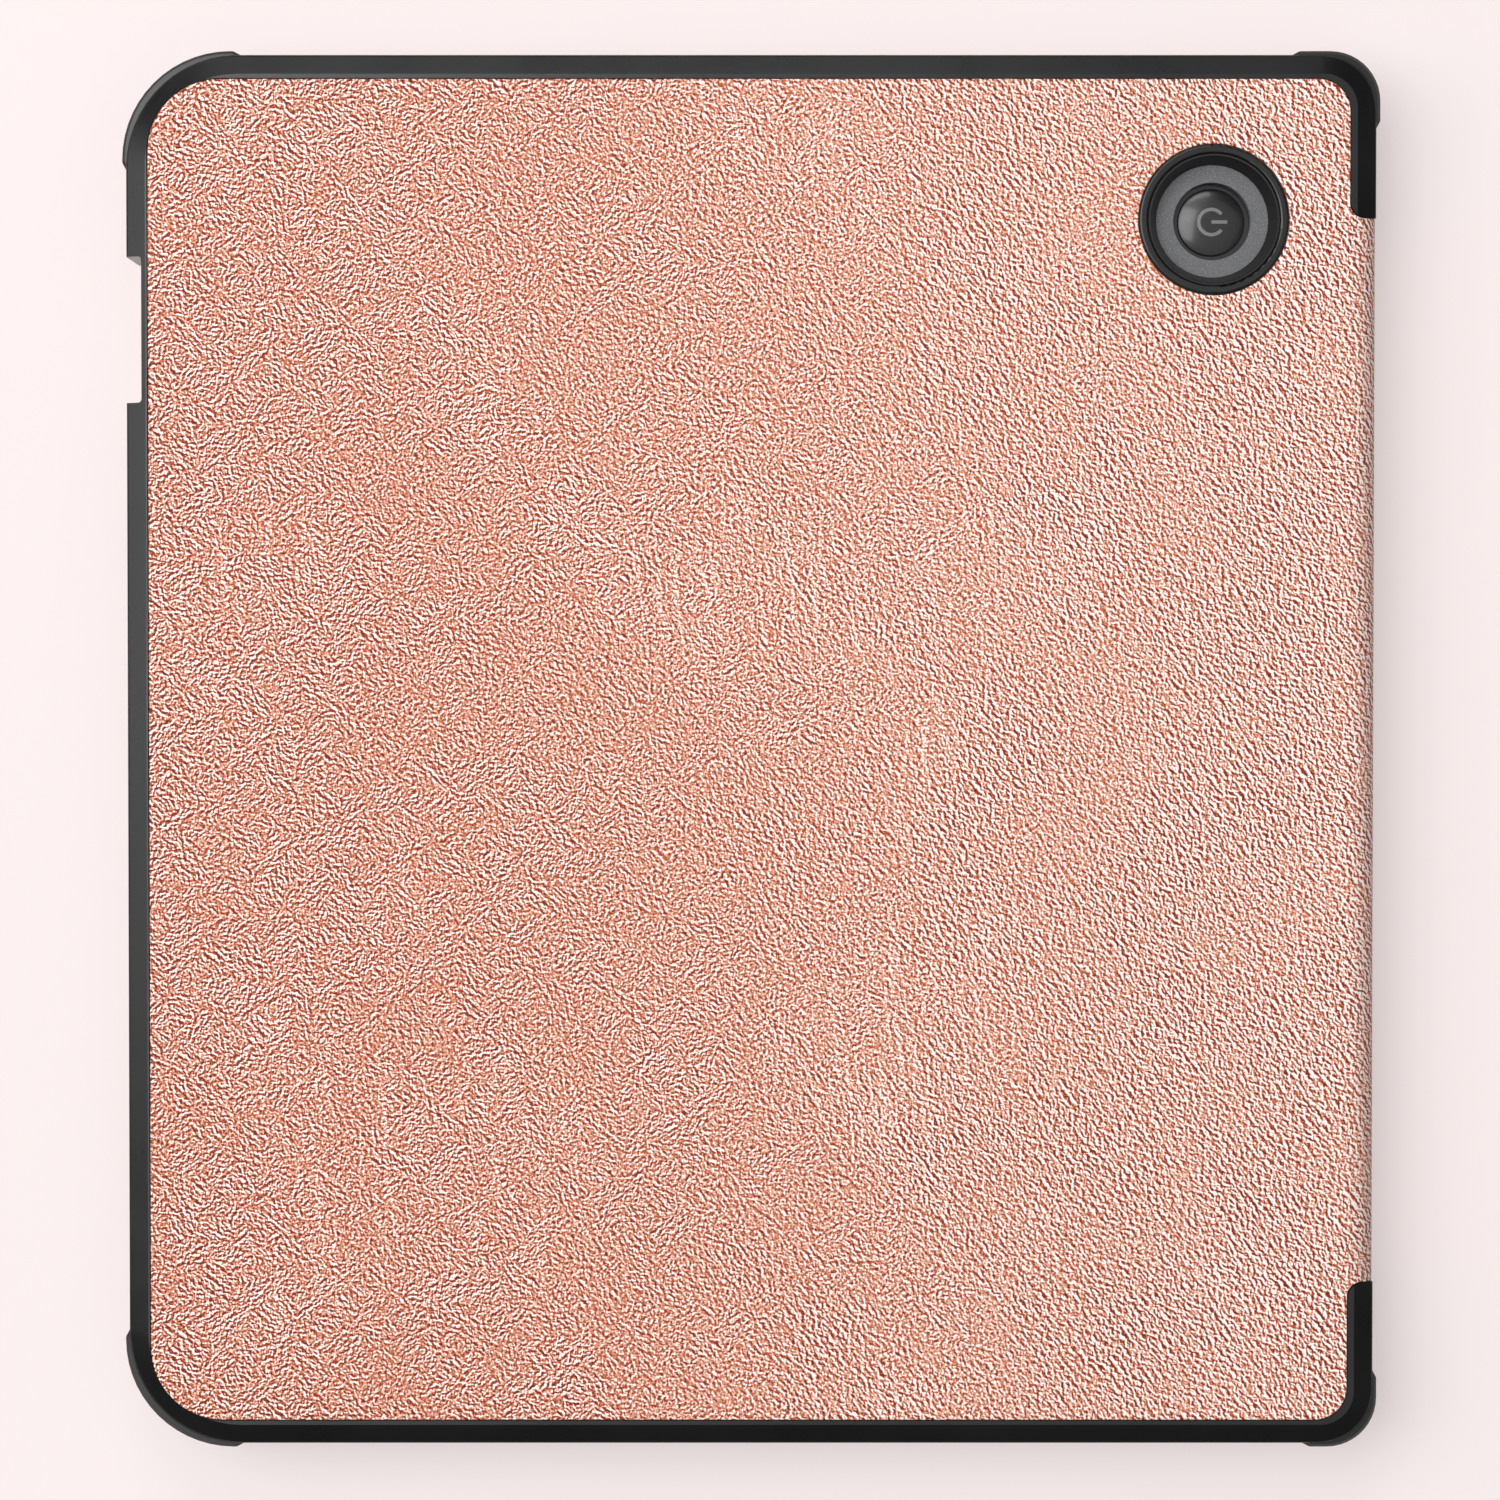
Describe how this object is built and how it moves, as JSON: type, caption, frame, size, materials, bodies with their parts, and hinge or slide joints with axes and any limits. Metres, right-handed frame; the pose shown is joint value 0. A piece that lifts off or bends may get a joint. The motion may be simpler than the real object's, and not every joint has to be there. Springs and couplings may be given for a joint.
{
  "type": "tablet computer in folio cover",
  "caption": "Small reading tablet with a side grip, page keys and a rear power key, held in a black tray with a folding grained-leather folio cover.",
  "frame": {"origin": "Middle of the closed case's footprint, on the front cover's outer face, with the case lying face down.", "axes": "+X points to the folding spine, +Y to the tablet's top edge, +Z out of the back of the tray."},
  "size_m": [0.1488, 0.1656, 0.0138],
  "materials": {
    "leather": "rose-gold grained synthetic leather",
    "board": "dense grey binder's board",
    "lining": "short brushed microfibre",
    "magnet": "nickel-plated magnet",
    "tray_plastic": "black fine-matt plastic",
    "housing_plastic": "dark grey fine-textured plastic",
    "bezel_plastic": "black soft-touch plastic",
    "button_gloss": "polished black plastic",
    "page_key": "satin black plastic",
    "film": "clear matt touch film",
    "light_guide": "clear moulded light guide",
    "reading_panel": "light grey electronic paper",
    "foam": "black closed-cell foam",
    "seal": "black adhesive gasket",
    "flexible_circuit": "amber polyimide flexible circuit",
    "chassis_metal": "cast and machined light alloy",
    "screw_steel": "plated steel",
    "circuit_board": "green solder mask",
    "chip": "black moulded chip package",
    "can": "tinned steel shield",
    "switch": "steel snap dome",
    "battery": "grey laminated pouch",
    "adhesive": "double-sided adhesive sheet",
    "lamp": "clear lamp package"
  },
  "bodies": {
    "front_cover": {"front_leather": "leather", "front_board": "board", "closure_magnets": "magnet", "sleep_magnet": "magnet", "front_lining": "lining"},
    "spine": {"spine_leather": "leather", "spine_stiffener": "board", "spine_lining": "lining"},
    "tray": {"case_tray": "tray_plastic", "back_leather": "leather", "rear_housing": "housing_plastic", "front_bezel": "bezel_plastic", "bezel_seal": "seal", "power_switch": "switch", "page_switches": "switch", "page_button_board": "circuit_board", "touch_film": "film", "light_guide": "light_guide", "epaper_panel": "reading_panel", "display_foam": "foam", "light_strip": "lamp", "chassis": "chassis_metal", "chassis_screws": "screw_steel", "display_ribbon": "flexible_circuit", "touch_ribbon": "flexible_circuit", "ribbon_sockets": "chip", "page_button_ribbon": "flexible_circuit", "mainboard": "circuit_board", "processor": "chip", "processor_shield": "can", "system_memory": "chip", "storage_memory": "chip", "wireless_module": "can", "power_chip": "chip", "status_light": "lamp", "antenna": "flexible_circuit", "hall_sensor": "chip", "battery_adhesive": "adhesive", "battery_cell": "battery", "battery_lead": "chip", "port_shell": "can", "port_tongue": "chip"},
    "power_button": {"power_button": "button_gloss"},
    "page_button_upper": {"page_button_upper": "page_key"},
    "page_button_lower": {"page_button_lower": "page_key"}
  },
  "joints": [
    {"name": "cover_fold", "type": "hinge", "parent": "front_cover", "child": "spine", "pos_m": [0.07311, 0, 0.00079], "axis": [0, 1, 0], "range_deg": [0, 90]},
    {"name": "spine_fold", "type": "hinge", "parent": "spine", "child": "tray", "pos_m": [0.07311, 0, 0.01271], "axis": [0, 1, 0], "range_deg": [0, 90]},
    {"name": "power_press", "type": "slide", "parent": "tray", "child": "power_button", "axis": [0, 0, -1], "range_m": [0, 0.0003], "stiffness_N_per_m": 6000, "springref_m": -0.0001},
    {"name": "upper_page_press", "type": "slide", "parent": "tray", "child": "page_button_upper", "axis": [0, 0, 1], "range_m": [0, 0.0003], "stiffness_N_per_m": 5000, "springref_m": -0.0001},
    {"name": "lower_page_press", "type": "slide", "parent": "tray", "child": "page_button_lower", "axis": [0, 0, 1], "range_m": [0, 0.0003], "stiffness_N_per_m": 5000, "springref_m": -0.0001}
  ]
}
